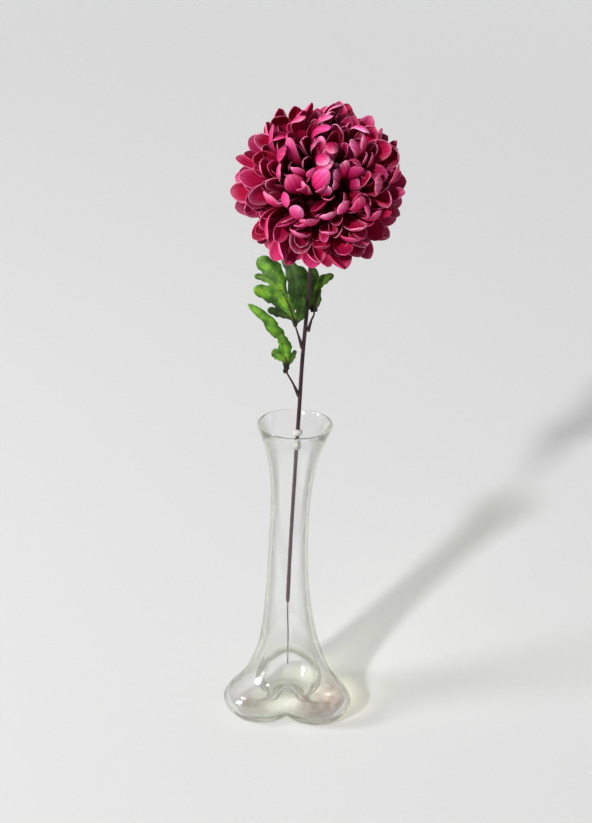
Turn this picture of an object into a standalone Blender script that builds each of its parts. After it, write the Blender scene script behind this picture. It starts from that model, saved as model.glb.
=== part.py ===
# A fabric ball chrysanthemum on a wire stem, standing in a clear glass bud vase.
# Lengths in this script are millimetres until they reach a mesh, where they become metres.
# The origin is the middle of the vase's foot, +Z is up and -Y is the front.
import random
from math import cos, pi, radians, sin, sqrt

import bmesh
import bpy
from mathutils import Matrix, Vector
from mathutils.geometry import delaunay_2d_cdt

MM = 0.001
GAP = 0.3

VASE_HEIGHT = 200.0
VASE_SIDES = 33
BASE_TURN = -2.0
GROOVE_SOFTNESS = 0.5
LOBE_FULLNESS = 0.8

STEM_RADIUS = 1.25
COATING_END = 75.0
WIRE_RADIUS = 0.5
SOCKET_DEPTH = 4.0
STUB_LENGTH = 9.0
STUB_RADIUS = 1.05
PETIOLE_RADIUS = 0.55
RIB_SLACK = 0.35
RIB_STEPS = 8
KNEE_DROP = 2.2

BLOOM_RADIUS = 50.0
BLOOM_WIDENING = 0.045
BLOOM_CENTRE = Vector((10.6, -18.0, 357.2))
BLOOM_NOD = 50.0
BLOOM_LEAN = 5.0
CORE_RADIUS = 30.0
ROOT_DEPTH = 5.0
PETAL_THICKNESS = 0.9
PETAL_STATIONS = (0.0, 0.62, 0.97)
PETAL_COLUMNS = (-1.0, 0.0, 1.0)
PETAL_SEED = 6
CALYX_HEIGHT = 10.0
CALYX_SIDES = 16

LEAF_THICKNESS = 0.8
LEAF_MESH = 4.8
LEAF_REACH = 62.0
LOBE_STEPS = 8
LEAF_VIEW = 23.0

# Each layer of petals: angle from the crown in degrees, number, half width,
# then cupping and inward curl in radians.
LAYERS = (
    (4, 3, 5.8, 1.40, 0.8),
    (15, 8, 6.1, 1.35, 0.8),
    (27, 12, 6.4, 1.30, 0.8),
    (39, 15, 6.7, 1.25, 0.8),
    (51, 18, 7.0, 1.20, 0.8),
    (63, 19, 7.2, 1.15, 0.75),
    (76, 20, 7.5, 1.10, 0.7),
    (89, 20, 7.7, 1.05, 0.65),
    (102, 18, 7.9, 1.00, 0.55),
    (115, 15, 8.0, 0.95, 0.5),
    (128, 11, 8.2, 0.90, 0.4),
    (141, 8, 8.1, 0.85, 0.3),
    (154, 5, 7.8, 0.80, 0.25),
)

# Outside of the vase from the foot up: height, radius at a lobe, radius at a groove.
OUTER_SECTIONS = (
    (0.0, 30.8, 12.8),
    (0.9, 35.4, 15.0),
    (2.6, 38.1, 17.0),
    (5.6, 40.8, 19.9),
    (9.5, 43.3, 22.7),
    (13.5, 44.1, 24.4),
    (17.5, 41.9, 25.1),
    (21.5, 36.9, 24.8),
    (25.0, 32.2, 24.2),
    (28.5, 28.7, 23.3),
    (33.0, 25.8, 22.2),
    (38.5, 23.2, 20.8),
    (46.0, 20.1, 19.1),
    (56.0, 17.6, 17.3),
    (68.0, 15.7, 15.6),
    (82.0, 14.1, 14.1),
    (98.0, 13.0, 13.0),
    (134.0, 12.2, 12.2),
    (150.0, 12.6, 12.6),
    (163.0, 13.6, 13.6),
    (174.0, 15.3, 15.3),
    (183.0, 17.5, 17.5),
    (190.0, 19.8, 19.8),
    (195.5, 22.0, 22.0),
    (198.5, 23.2, 23.2),
    (199.6, 23.4, 23.4),
    (VASE_HEIGHT, 22.9, 22.9),
)

# Inside of the vase, the same way, from the lip down into the lobes and up the low dome of the floor.
INNER_SECTIONS = (
    (199.6, 22.0, 22.0),
    (198.0, 21.2, 21.2),
    (195.0, 19.7, 19.7),
    (190.0, 17.6, 17.6),
    (183.0, 15.3, 15.3),
    (174.0, 13.1, 13.1),
    (163.0, 11.4, 11.4),
    (150.0, 10.4, 10.4),
    (134.0, 10.0, 10.0),
    (98.0, 10.8, 10.8),
    (82.0, 11.9, 11.9),
    (68.0, 13.2, 13.2),
    (56.0, 14.8, 14.7),
    (47.0, 16.6, 16.0),
    (40.5, 19.0, 17.4),
    (34.0, 22.2, 18.9),
    (28.0, 26.0, 20.4),
    (24.5, 29.2, 20.9),
    (21.0, 33.5, 21.3),
    (17.5, 37.8, 21.5),
    (13.5, 40.3, 20.8),
    (9.5, 39.5, 19.2),
    (6.5, 36.8, 17.1),
    (4.6, 33.0, 15.0),
    (3.8, 27.5, 13.2),
    (4.2, 21.0, 11.6),
    (6.0, 15.0, 10.0),
    (8.8, 10.6, 8.2),
    (11.2, 6.8, 5.8),
    (12.6, 3.0, 2.8),
)

# The neck was drawn by hand and bows to the left: height, sideways offset of the section's middle.
NECK_BOW = (
    (0, 0.0),
    (30, 0.0),
    (45, -0.2),
    (60, -1.0),
    (80, -1.9),
    (100, -2.3),
    (120, -2.3),
    (140, -1.8),
    (155, -1.3),
    (170, -0.9),
    (185, -0.6),
    (VASE_HEIGHT, 0.0),
)

# The coated stem's route as seen from the front: height and sideways place. It leans back as it rises.
STEM_ROUTE = (
    (COATING_END, -1.8),
    (100.0, -1.3),
    (127.0, -0.55),
    (153.0, 0.4),
    (180.0, 1.2),
    (208.0, 2.35),
    (226.0, 2.8),
    (243.0, 3.6),
    (264.0, 5.0),
    (286.0, 6.4),
)
STEM_TOP = STEM_ROUTE[-1][0]
STEM_DEPTH = 2.5
STEM_RECLINE = 0.080
BEND_POINTS = 10

# The bare wire, from its tip against the glass of the back lobe up to the coating.
WIRE_ROUTE = (
    (-0.85, 38.5, 9.3),
    (-0.8, 28.0, 22.0),
    (-0.85, 19.5, 33.0),
    (-0.9, 13.2, 44.0),
    (-1.2, 8.2, 55.0),
    (-1.5, 4.4, 63.5),
    (-1.65, 2.4, 70.0),
)


def blend(table, place):
    # Straight-line reading of a table of (place, value) pairs.
    for (low, first), (high, second) in zip(table, table[1:]):
        if place <= high:
            return first + (second - first) * (place - low) / (high - low)
    return table[-1][1]


def smooth(x):
    x = min(max(x, 0.0), 1.0)
    return x * x * (3 - 2 * x)


def clear_scene():
    for old in list(bpy.data.objects):
        bpy.data.objects.remove(old, do_unlink=True)


def new_collection(name, helper=False):
    collection = bpy.data.collections.new(name)
    bpy.context.scene.collection.children.link(collection)
    collection.hide_render = helper
    return collection


def new_material(name, colour, roughness, metallic=0.0, transmission=0.0):
    material = bpy.data.materials.new(name)
    material.use_nodes = True
    shader = material.node_tree.nodes["Principled BSDF"]
    shader.inputs["Base Color"].default_value = (*colour, 1.0)
    shader.inputs["Roughness"].default_value = roughness
    shader.inputs["Metallic"].default_value = metallic
    shader.inputs["Transmission Weight"].default_value = transmission
    material.diffuse_color = (*colour, 1.0)
    return material


def mesh_object(name, points, faces, collection, material=None):
    mesh = bpy.data.meshes.new(name)
    mesh.from_pydata([tuple(c * MM for c in point) for point in points], [], faces)
    mesh.validate()
    obj = bpy.data.objects.new(name, mesh)
    collection.objects.link(obj)
    if material:
        mesh.materials.append(material)
    return obj


def shade(obj):
    obj.data.shade_smooth()
    obj.data.set_sharp_from_angle(angle=radians(40))


def as_mesh(obj, name, collection, material=None):
    # The evaluated object as a mesh object of its own, with the caps of a curve welded on.
    bpy.context.view_layer.update()
    graph = bpy.context.evaluated_depsgraph_get()
    mesh = bpy.data.meshes.new_from_object(obj.evaluated_get(graph))
    mesh.name = name
    work = bmesh.new()
    work.from_mesh(mesh)
    bmesh.ops.remove_doubles(work, verts=work.verts, dist=1e-6)
    work.to_mesh(mesh)
    work.free()
    mesh.materials.clear()
    if material:
        mesh.materials.append(material)
    matrix = obj.matrix_world.copy()
    bpy.data.objects.remove(obj, do_unlink=True)
    result = bpy.data.objects.new(name, mesh)
    result.matrix_world = matrix
    collection.objects.link(result)
    return result


def tube(name, route, radius, collection, radii=None, material=None):
    # A round bar along the route; radii, where given, are factors of the radius at each point.
    curve = bpy.data.curves.new(name, "CURVE")
    curve.dimensions = "3D"
    curve.bevel_depth = radius * MM
    curve.bevel_resolution = 2
    curve.use_fill_caps = True
    spline = curve.splines.new("POLY")
    spline.points.add(len(route) - 1)
    for i, (point, place) in enumerate(zip(spline.points, route)):
        point.co = (*(c * MM for c in place), 1.0)
        point.radius = radii[i] if radii else 1.0
    obj = bpy.data.objects.new(name, curve)
    collection.objects.link(obj)
    bpy.context.view_layer.update()
    return as_mesh(obj, name, collection, material)


def boolean(obj, other, operation, solver="EXACT"):
    # Joins or cuts obj with an object or a whole collection, and removes what it used.
    modifier = obj.modifiers.new(operation.title(), "BOOLEAN")
    modifier.operation = operation
    modifier.solver = solver
    if isinstance(other, bpy.types.Collection):
        modifier.operand_type = "COLLECTION"
        modifier.collection = other
        used = list(other.objects)
    else:
        modifier.object = other
        used = [other]
    bpy.context.view_layer.update()
    graph = bpy.context.evaluated_depsgraph_get()
    mesh = bpy.data.meshes.new_from_object(obj.evaluated_get(graph))
    obj.modifiers.clear()
    obj.data = mesh
    for item in used:
        bpy.data.objects.remove(item, do_unlink=True)


def keep_outer_body(obj):
    # Drops loose scraps and sealed hollows: only the largest body's outside stays.
    work = bmesh.new()
    work.from_mesh(obj.data)
    left = set(work.faces)
    bodies = []
    while left:
        seed = left.pop()
        body, queue = [seed], [seed]
        while queue:
            for edge in queue.pop().edges:
                for face in edge.link_faces:
                    if face in left:
                        left.discard(face)
                        body.append(face)
                        queue.append(face)
        bodies.append(body)

    def volume(body):
        return sum(face.calc_center_median().dot(face.normal) * face.calc_area() for face in body)

    best = max(bodies, key=volume)
    scraps = [face for body in bodies if body is not best for face in body]
    bmesh.ops.delete(work, geom=scraps, context="FACES")
    work.to_mesh(obj.data)
    work.free()


def lobe_share(angle):
    # 1 at the middle of each of the three lobes and 0 in the grooves between them.
    third = 2 * pi / 3
    turn = (angle - radians(90 + BASE_TURN) + third / 2) % third - third / 2
    soft = sqrt(1 + GROOVE_SOFTNESS ** 2) - GROOVE_SOFTNESS
    share = (sqrt(cos(1.5 * turn) ** 2 + GROOVE_SOFTNESS ** 2) - GROOVE_SOFTNESS) / soft
    return share ** LOBE_FULLNESS


def section(height, lobe, groove):
    ring = []
    for i in range(VASE_SIDES):
        angle = radians(BASE_TURN + 30) + 2 * pi * i / VASE_SIDES
        radius = groove + (lobe - groove) * lobe_share(angle)
        ring.append(Vector((radius * cos(angle) + blend(NECK_BOW, height), radius * sin(angle), height)))
    return ring


def make_vase(collection, glass):
    # One loft up the outside, over the lip, down the inside into the lobes and up the dome of the floor.
    rings = [section(*row) for row in OUTER_SECTIONS + INNER_SECTIONS]
    points = [point for ring in rings for point in ring]
    faces = [tuple(reversed(range(VASE_SIDES)))]
    for row in range(len(rings) - 1):
        for i in range(VASE_SIDES):
            j = (i + 1) % VASE_SIDES
            low, high = row * VASE_SIDES, (row + 1) * VASE_SIDES
            faces.append((low + i, low + j, high + j, high + i))
    last = (len(rings) - 1) * VASE_SIDES
    faces.append(tuple(range(last, last + VASE_SIDES)))
    shade(mesh_object("vase", points, faces, collection, glass))


def stem_depth(height):
    return STEM_DEPTH + STEM_RECLINE * (height - COATING_END)


def crown_direction():
    nod, lean = radians(BLOOM_NOD), radians(BLOOM_LEAN)
    return Vector((sin(lean), -sin(nod) * cos(lean), cos(nod) * cos(lean)))


def calyx_foot():
    return BLOOM_CENTRE - crown_direction() * (CORE_RADIUS + CALYX_HEIGHT - 3)


def stem_point(height):
    # A point of the straight run, read from the route with its corners rounded.
    near = [min(max(height + shift, COATING_END), STEM_TOP) for shift in (-8, -4, 0, 4, 8)]
    across = sum(blend(STEM_ROUTE, place) for place in near) / len(near)
    return Vector((across, stem_depth(height), height))


def stem_points(low, high, step):
    count = round((high - low) / step)
    return [stem_point(low + (high - low) * i / count) for i in range(count + 1)]


def bend_points():
    # The bend from the top of the straight run round to just below the calyx, then straight into its socket.
    start = stem_point(STEM_TOP)
    end = calyx_foot() - crown_direction()
    reach = (end - start).length * 0.38
    first = start + (start - stem_point(STEM_TOP - 10)).normalized() * reach
    second = end - crown_direction() * reach
    points = []
    for i in range(1, BEND_POINTS + 1):
        t = i / BEND_POINTS
        left = 1 - t
        points.append(start * left ** 3 + first * 3 * t * left ** 2 + second * 3 * t ** 2 * left + end * t ** 3)
    return points + [calyx_foot() + crown_direction() * (SOCKET_DEPTH - GAP)]


# The plane that the leaves are drawn on faces a viewer above the front.
LEAF_SIDEWAYS = Vector((1, 0, 0))
LEAF_UPWARD = Vector((0, sin(radians(LEAF_VIEW)), cos(radians(LEAF_VIEW))))
LEAF_TOWARD = Vector((0, -cos(radians(LEAF_VIEW)), sin(radians(LEAF_VIEW))))

# Each leaf: where its blade starts, the point of the stem that bears it, how far its tip comes forward
# for each millimetre up, its middle rib, how much of the rib is stiffened by the petiole, and its lobes.
# A lobe has the points of its vein across and up the leaf, its half width, and how pointed its tip is.
LEAVES = {
    "leaf_low": {
        "base": Vector((-6.2, 6.0, 233.0)),
        "joint": Vector((1.7, 13.9, 212.6)),
        "rise": 0.30,
        "rib": ((0, 0), (-0.8, 7.6), (-1.6, 14.8), (-4.3, 20.2), (-8.4, 24.1)),
        "wired": 0.30,
        "lobes": (
            (((0, 0), (-0.8, 7.6), (-1.6, 14.8), (-4.3, 20.2)), 3.9, 0.3),
            (((-1.6, 12.8), (-4.3, 20.2), (-8.4, 24.1), (-13.0, 30.3), (-24.5, 39.0)), 3.7, 0.75),
            (((-0.4, 4.5), (-4.5, 8.6), (-9.4, 10.7)), 3.3, 0.2),
            (((0.6, 2.4), (2.9, 7.1), (5.3, 11.9)), 1.8, 0.7),
            (((0.2, 1.8), (-0.5, -0.4), (-1.3, -2.2)), 1.6, 0.1),
        ),
    },
    "leaf_left": {
        "base": Vector((-1.4, 11.0, 259.3)),
        "joint": Vector((2.9, 16.0, 244.0)),
        "rise": 0.22,
        "rib": ((0, 0), (-2.6, 7.6), (-4.9, 13.5), (-9.3, 21.2)),
        "wired": 1.0,
        "lobes": (
            (((0, 0), (-2.6, 7.6), (-4.9, 13.5), (-9.3, 21.2)), 2.6, 0.3),
            (((-7.0, 16.6), (-13.4, 31.2), (-24.0, 40.6)), 5.9, 0.1),
            (((-8.4, 19.8), (-17.3, 27.9), (-25.9, 29.9)), 2.4, 0.2),
            (((-4.2, 9.4), (-12.8, 17.8), (-26.2, 22.2)), 5.2, 0.6),
            (((-2.2, 4.6), (-9.5, 8.0), (-17.4, 9.8)), 2.8, 0.2),
            (((-3.4, 8.2), (-0.6, 21.0), (-2.6, 33.2), (-9.0, 42.6)), 4.9, 0.85),
            (((-0.4, 1.6), (2.9, 8.6), (3.6, 18.4)), 3.3, 0.5),
        ),
    },
    "leaf_back": {
        "base": Vector((9.7, 23.0, 264.7)),
        "joint": Vector((6.2, 17.2, 254.4)),
        "rise": -0.22,
        "rib": ((0, 0), (0.4, 6.0), (0.8, 12.2), (1.4, 19.0)),
        "wired": 0.75,
        "lobes": (
            (((0, 0), (-1.0, 10.2), (-1.4, 28.0)), 4.8, 0.4),
            (((-0.6, 11.6), (4.2, 19.2), (11.4, 23.4)), 3.0, 0.6),
            (((-0.6, 2.2), (-6.4, 13.9), (-10.4, 28.4)), 5.6, 0.3),
            (((0.2, 1.2), (2.0, 6.6), (2.4, 13.0)), 2.0, 0.5),
        ),
    },
}


def vein_points(vein, count):
    # Evenly spaced points along a vein, on a smooth curve through its given points.
    given = [Vector(point) for point in vein]
    ends = [given[0] * 2 - given[1]] + given + [given[-1] * 2 - given[-2]]
    points = []
    for i in range(count + 1):
        place = i / count * (len(given) - 1)
        k = min(int(place), len(given) - 2)
        t = place - k
        a, b, c, d = ends[k:k + 4]
        points.append((b * 2 + (c - a) * t + (a * 2 - b * 5 + c * 4 - d) * t ** 2
                       + (b * 3 - a - c * 3 + d) * t ** 3) * 0.5)
    return points


def lobe_outline(vein, half_width, pointed, count):
    # Both sides of a lobe and its tip: narrow at the root, widest past the middle, with a few blunt teeth.
    spine = vein_points(vein, count)
    left, right = [], []
    for i, point in enumerate(spine):
        s = i / count
        along = spine[min(i + 1, count)] - spine[max(i - 1, 0)]
        side = Vector((-along.y, along.x)).normalized()
        body = 0.42 + 0.58 * smooth(s / (0.62 - 0.22 * pointed))
        tip = sqrt(max(0.0, 1 - max(0.0, (s - 0.55) / 0.45) ** (2.6 - 1.2 * pointed)))
        teeth = 1 + 0.10 * sin(s * 21.0 + 1.3) * smooth(s * 3)
        width = half_width * max(body * tip * teeth, 0.10)
        left.append(point + side * width)
        right.append(point - side * width)
    return right + left[::-1]


def leaf_sheet(lobes):
    # The lobes' outlines merged into one flat sheet of triangles, over a grid of points that lets it bend.
    points, outlines = [], []
    for vein, half_width, pointed in lobes:
        outline = lobe_outline(vein, half_width, pointed, LOBE_STEPS)
        outlines.append(list(range(len(points), len(points) + len(outline))))
        points += outline
    rows = int(LEAF_REACH / LEAF_MESH)
    for row in range(rows):
        for column in range(rows):
            shift = 0.5 * (row % 2)
            across = (column + shift - rows / 2) * LEAF_MESH - LEAF_MESH
            points.append(Vector((across, row * LEAF_MESH * sqrt(0.75) - LEAF_MESH)))
    merged, _, faces, _, _, lobes_of = delaunay_2d_cdt(points, [], outlines, 1, 1e-4, True)
    faces = [face for face, inside in zip(faces, lobes_of) if inside]
    used = sorted({i for face in faces for i in face})
    number = {old: new for new, old in enumerate(used)}
    return [merged[i] for i in used], [tuple(number[i] for i in face) for face in faces]


def leaf_place(leaf, across, up):
    # A point of the flat leaf in space: it arches over its length and folds a little at the rib.
    off = min((Vector((across, up)) - point).length for point in vein_points(leaf["rib"], 12))
    bow = 1.6 * sin(up / 13.0)
    fold = -0.10 * off
    ripple = 0.5 * sin(across / 3.1 + up / 5.0)
    forward = leaf["rise"] * up + bow + fold + ripple
    return leaf["base"] + LEAF_SIDEWAYS * across + LEAF_UPWARD * up + LEAF_TOWARD * forward


def make_leaf(name, collection, green, bark):
    leaf = LEAVES[name]
    flat, faces = leaf_sheet(leaf["lobes"])
    blade = mesh_object(name, [leaf_place(leaf, p.x, p.y) for p in flat], faces, collection, green)
    solid = blade.modifiers.new("Thickness", "SOLIDIFY")
    solid.thickness = LEAF_THICKNESS * MM
    solid.offset = 0.0
    blade.data.shade_smooth()

    # The petiole runs from its stub to just below the blade, then lies along the front of the middle rib.
    lift = LEAF_TOWARD * (LEAF_THICKNESS / 2 + GAP + PETIOLE_RADIUS + RIB_SLACK)
    steps = vein_points(leaf["rib"], RIB_STEPS)[:round(RIB_STEPS * leaf["wired"]) + 1]
    rib = [leaf_place(leaf, p.x, p.y) + lift for p in steps]
    knee = rib[0] - (rib[1] - rib[0]).normalized() * KNEE_DROP
    stub = stub_route(leaf)
    aim = (stub[-1] - stub[0]).normalized()
    start = stub[-1] + aim * GAP
    route = [start, start + aim, (start + aim + knee) / 2 + aim * 0.4, knee] + rib
    radii = [1.25, 1.2, 1.1, 1.0] + [1.0 - 0.5 * i / len(rib) for i in range(len(rib))]
    petiole = tube(name.replace("leaf", "petiole"), route, PETIOLE_RADIUS, collection, radii, bark)
    petiole.data.shade_smooth()


def stub_route(leaf):
    # The moulded stub on the stem that a leaf's petiole plugs onto.
    reach = leaf["base"] - leaf["joint"]
    aim = reach.normalized()
    length = min(STUB_LENGTH, reach.length * 0.5)
    return [leaf["joint"] - aim * 0.4, leaf["joint"] + aim * length * 0.4, leaf["joint"] + aim * length]


def make_stem(collection, bark, steel):
    # The plastic coating with a stub for each leaf, and the bare wire that comes out of its lower end.
    route = stem_points(COATING_END, STEM_TOP, 13) + bend_points()
    stem = tube("stem", route, STEM_RADIUS, collection, material=bark)
    for leaf in LEAVES.values():
        stub = tube("stub", stub_route(leaf), STUB_RADIUS, collection, radii=[1.1, 1.0, 0.7])
        boolean(stem, stub, "UNION")
    bore_route = [stem_point(COATING_END - 1), stem_point(COATING_END + SOCKET_DEPTH)]
    bore = tube("bore", bore_route, WIRE_RADIUS + GAP, collection)
    boolean(stem, bore, "DIFFERENCE")
    keep_outer_body(stem)
    shade(stem)
    socket_top = COATING_END + SOCKET_DEPTH - 2 * GAP
    wire_route = [Vector(point) for point in WIRE_ROUTE] + stem_points(COATING_END, socket_top, 3)
    wire = tube("wire", wire_route, WIRE_RADIUS, collection, material=steel)
    wire.data.shade_smooth()


def turned(name, profile, sides, collection, material=None):
    # A profile of (radius, height) pairs, from the top centre down the outside, turned about Z.
    mesh = bpy.data.meshes.new(name)
    edges = [(i, i + 1) for i in range(len(profile) - 1)]
    mesh.from_pydata([(radius * MM, 0, height * MM) for radius, height in profile], edges, [])
    obj = bpy.data.objects.new(name, mesh)
    collection.objects.link(obj)
    screw = obj.modifiers.new("Turn", "SCREW")
    screw.steps = screw.render_steps = sides
    screw.use_merge_vertices = True
    screw.merge_threshold = 1e-6
    bpy.context.view_layer.update()
    return as_mesh(obj, name, collection, material)


# Outside of the calyx from the middle of its top down to its foot: radius and height.
CALYX_PROFILE = (
    (0.0, CALYX_HEIGHT),
    (10.5, CALYX_HEIGHT + 0.6),
    (12.0, CALYX_HEIGHT - 0.4),
    (11.2, CALYX_HEIGHT - 2.6),
    (7.6, CALYX_HEIGHT - 6.0),
    (4.2, 2.0),
    (2.9, 0.0),
)


def calyx_room():
    # The calyx's profile grown on every side, to cut its seat into the bloom.
    grow = GAP + 0.2
    outside = []
    for radius, height in CALYX_PROFILE:
        upper = height > CALYX_HEIGHT - 1
        outside.append((radius + grow if radius else 0.0, height + grow if upper else height - grow))
    return outside + [(0.0, outside[-1][1])]


def make_calyx(collection, green):
    bore = STEM_RADIUS + GAP
    profile = list(CALYX_PROFILE) + [(bore, 0.0), (bore, SOCKET_DEPTH), (0.0, SOCKET_DEPTH)]
    calyx = turned("calyx", profile, CALYX_SIDES, collection, green)
    calyx.matrix_world = calyx_matrix()
    shade(calyx)


def calyx_matrix():
    return Matrix.Translation(calyx_foot() * MM) @ crown_direction().to_track_quat("Z", "Y").to_matrix().to_4x4()


def petal_list():
    # Every petal of the head: its outward direction, its side towards the crown, and its shape.
    draw = random.Random(PETAL_SEED)
    crown = crown_direction()
    side = crown.orthogonal().normalized()
    other = crown.cross(side)
    petals = []
    for angle, number, half_width, cup, curl in LAYERS:
        start = draw.uniform(0, 360)
        for i in range(number):
            polar = radians(angle + draw.uniform(-3.5, 3.5))
            around = radians(start + 360 * (i + draw.uniform(-0.25, 0.25)) / number)
            out = crown * cos(polar) + (side * cos(around) + other * sin(around)) * sin(polar)
            inward = (crown - out * crown.dot(out)).normalized()
            twist = radians(draw.gauss(0, 38 - 0.12 * angle))
            petals.append({
                "out": out,
                "inward": Matrix.Rotation(twist, 3, out) @ inward,
                "half": half_width * draw.uniform(0.80, 1.18),
                "cup": cup * draw.uniform(0.75, 1.15),
                "curl": curl * draw.uniform(0.25, 1.35),
                "lean": draw.uniform(-0.22, 0.12),
                "reach": BLOOM_RADIUS * draw.triangular(0.86, 1.02, 0.97) * (1 + BLOOM_WIDENING * abs(out.x)),
            })
    return petals


def petal_sheet(petal, root, stations, columns):
    # Rows of points from the root to the rounded tip; the cup opens on the inward side.
    out, inward = petal["out"], petal["inward"]
    across = out.cross(inward)
    steps = 24
    path = [Vector((0, 0, 0))]
    ahead = []
    for i in range(steps):
        s = (i + 0.5) / steps
        turn = 1.5 * petal["lean"] * (1 - s) + 1.5 * petal["curl"] * smooth((s - 0.35) / 0.65)
        direction = out * cos(turn) + inward * sin(turn)
        ahead.append(direction)
        path.append(path[-1] + direction / steps)
    length = (petal["reach"] - root) / max(point.dot(out) for point in path)
    points = []
    for s in stations:
        k = s * steps
        i = min(int(k), steps - 1)
        middle = out * root + path[i].lerp(path[i + 1], k - i) * length
        face = across.cross(ahead[i]).normalized()
        width = petal["half"] * petal_width(s)
        arc = petal["cup"] * (0.45 + 0.55 * smooth(s / 0.6))
        for t in columns:
            lateral = width * sin(arc * t) / arc
            depth = width * (1 - cos(arc * t)) / arc
            points.append(middle + across * lateral + face * depth)
    wide = len(columns)
    faces = []
    for row in range(len(stations) - 1):
        for i in range(wide - 1):
            a = row * wide + i
            faces.append((a, a + 1, a + wide + 1, a + wide))
    return points, faces


def petal_width(s):
    grown = 0.34 + 0.66 * smooth(s / 0.62)
    rounded = sqrt(max(0.0, 1 - (max(0.0, s - 0.60) / 0.42) ** 2.2))
    return grown * rounded


def triangulate(obj):
    work = bmesh.new()
    work.from_mesh(obj.data)
    bmesh.ops.triangulate(work, faces=work.faces)
    work.to_mesh(obj.data)
    work.free()


def make_bloom(collection, fabric):
    # The petals sink into a round core and become one body with it.
    petals = new_collection("petals", helper=True)
    bpy.ops.mesh.primitive_ico_sphere_add(subdivisions=2, radius=CORE_RADIUS * MM)
    bloom = bpy.context.object
    bloom.name = "bloom"
    for owner in list(bloom.users_collection):
        owner.objects.unlink(bloom)
    collection.objects.link(bloom)
    for petal in petal_list():
        points, faces = petal_sheet(petal, CORE_RADIUS - ROOT_DEPTH, PETAL_STATIONS, PETAL_COLUMNS)
        blade = mesh_object("petal", points, faces, petals)
        triangulate(blade)
        solid = blade.modifiers.new("Thickness", "SOLIDIFY")
        solid.thickness = PETAL_THICKNESS * MM
        solid.offset = 0.0
    boolean(bloom, petals, "UNION", "MANIFOLD")
    bpy.data.collections.remove(petals)
    bloom.matrix_world = Matrix.Translation(BLOOM_CENTRE * MM)
    cutter = turned("calyx_room", calyx_room(), CALYX_SIDES, collection)
    cutter.matrix_world = calyx_matrix()
    boolean(bloom, cutter, "DIFFERENCE", "MANIFOLD")
    keep_outer_body(bloom)
    bloom.data.materials.clear()
    bloom.data.materials.append(fabric)
    shade(bloom)


def main():
    clear_scene()
    parts = new_collection("flower in vase")
    glass = new_material("clear glass", (0.93, 0.95, 0.90), 0.02, transmission=1.0)
    fabric = new_material("magenta fabric", (0.31, 0.018, 0.065), 0.62)
    green = new_material("green fabric", (0.085, 0.185, 0.018), 0.55)
    bark = new_material("brown plastic coating", (0.062, 0.028, 0.036), 0.5)
    steel = new_material("steel wire", (0.42, 0.42, 0.43), 0.38, metallic=1.0)
    make_vase(parts, glass)
    make_stem(parts, bark, steel)
    for name in LEAVES:
        make_leaf(name, parts, green, bark)
    make_calyx(parts, green)
    make_bloom(parts, fabric)


main()
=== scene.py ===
# A magenta fabric ball chrysanthemum in a clear glass bud vase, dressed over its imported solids.
# Lengths are millimetres until they reach a mesh, where they become metres.
# The origin is the middle of the vase's foot, +Z is up and -Y is the front.
import random
from math import cos, exp, pi, radians, sin, sqrt

import bmesh
import bpy
from mathutils import Matrix, Vector, noise
from mathutils.geometry import delaunay_2d_cdt


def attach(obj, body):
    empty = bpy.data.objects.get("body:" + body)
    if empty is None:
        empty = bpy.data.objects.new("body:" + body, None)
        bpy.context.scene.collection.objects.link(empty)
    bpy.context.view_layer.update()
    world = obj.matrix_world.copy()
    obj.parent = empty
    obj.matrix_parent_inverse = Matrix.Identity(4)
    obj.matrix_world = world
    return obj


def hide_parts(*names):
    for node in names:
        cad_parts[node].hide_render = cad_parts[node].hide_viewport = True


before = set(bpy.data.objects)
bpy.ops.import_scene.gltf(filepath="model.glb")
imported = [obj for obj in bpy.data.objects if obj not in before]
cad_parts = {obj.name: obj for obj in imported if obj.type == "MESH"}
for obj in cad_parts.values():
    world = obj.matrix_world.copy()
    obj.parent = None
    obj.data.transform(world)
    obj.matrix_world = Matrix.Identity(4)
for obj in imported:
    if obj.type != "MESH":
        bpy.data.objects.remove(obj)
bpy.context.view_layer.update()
mm = 0.001
print("frame loaded:", len(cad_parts), "nodes")


# Small helpers

def toLinear(hexColour):
    parts = [int(hexColour[i:i + 2], 16) / 255 for i in (1, 3, 5)]
    return [part / 12.92 if part <= 0.04045 else ((part + 0.055) / 1.055) ** 2.4 for part in parts]


def mixed(first, second, share):
    return [a + (b - a) * share for a, b in zip(first, second)]


def smooth(x):
    x = min(max(x, 0.0), 1.0)
    return x * x * (3 - 2 * x)


def curveThrough(given, perSpan):
    # A smooth row of points through the given vectors, perSpan of them for each stretch.
    ends = [given[0] * 2 - given[1]] + given + [given[-1] * 2 - given[-2]]
    points = []
    for k in range(len(given) - 1):
        a, b, c, d = ends[k:k + 4]
        for i in range(perSpan):
            t = i / perSpan
            points.append((b * 2 + (c - a) * t + (a * 2 - b * 5 + c * 4 - d) * t ** 2
                           + (b * 3 - a - c * 3 + d) * t ** 3) * 0.5)
    return points + [given[-1]]


def readTable(table, place):
    for (low, first), (high, second) in zip(table, table[1:]):
        if place <= high:
            return first + (second - first) * (place - low) / (high - low)
    return table[-1][1]


def addToScene(name, data):
    item = bpy.data.objects.new(name, data)
    bpy.context.scene.collection.objects.link(item)
    return item


def addPiece(name, mesh, material, slot, *nodes):
    # Puts a mesh or curve in the scene as a piece that rides on the one body
    # and stands for the solids of the nodes given.
    piece = addToScene(name, mesh)
    mesh.materials.append(material)
    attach(piece, "root")
    if nodes:
        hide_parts(*nodes)
    return piece


def newMesh(name, points, faces):
    mesh = bpy.data.meshes.new(name)
    mesh.from_pydata([tuple(part * mm for part in point) for point in points], [], faces)
    mesh.shade_smooth()
    return mesh


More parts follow.
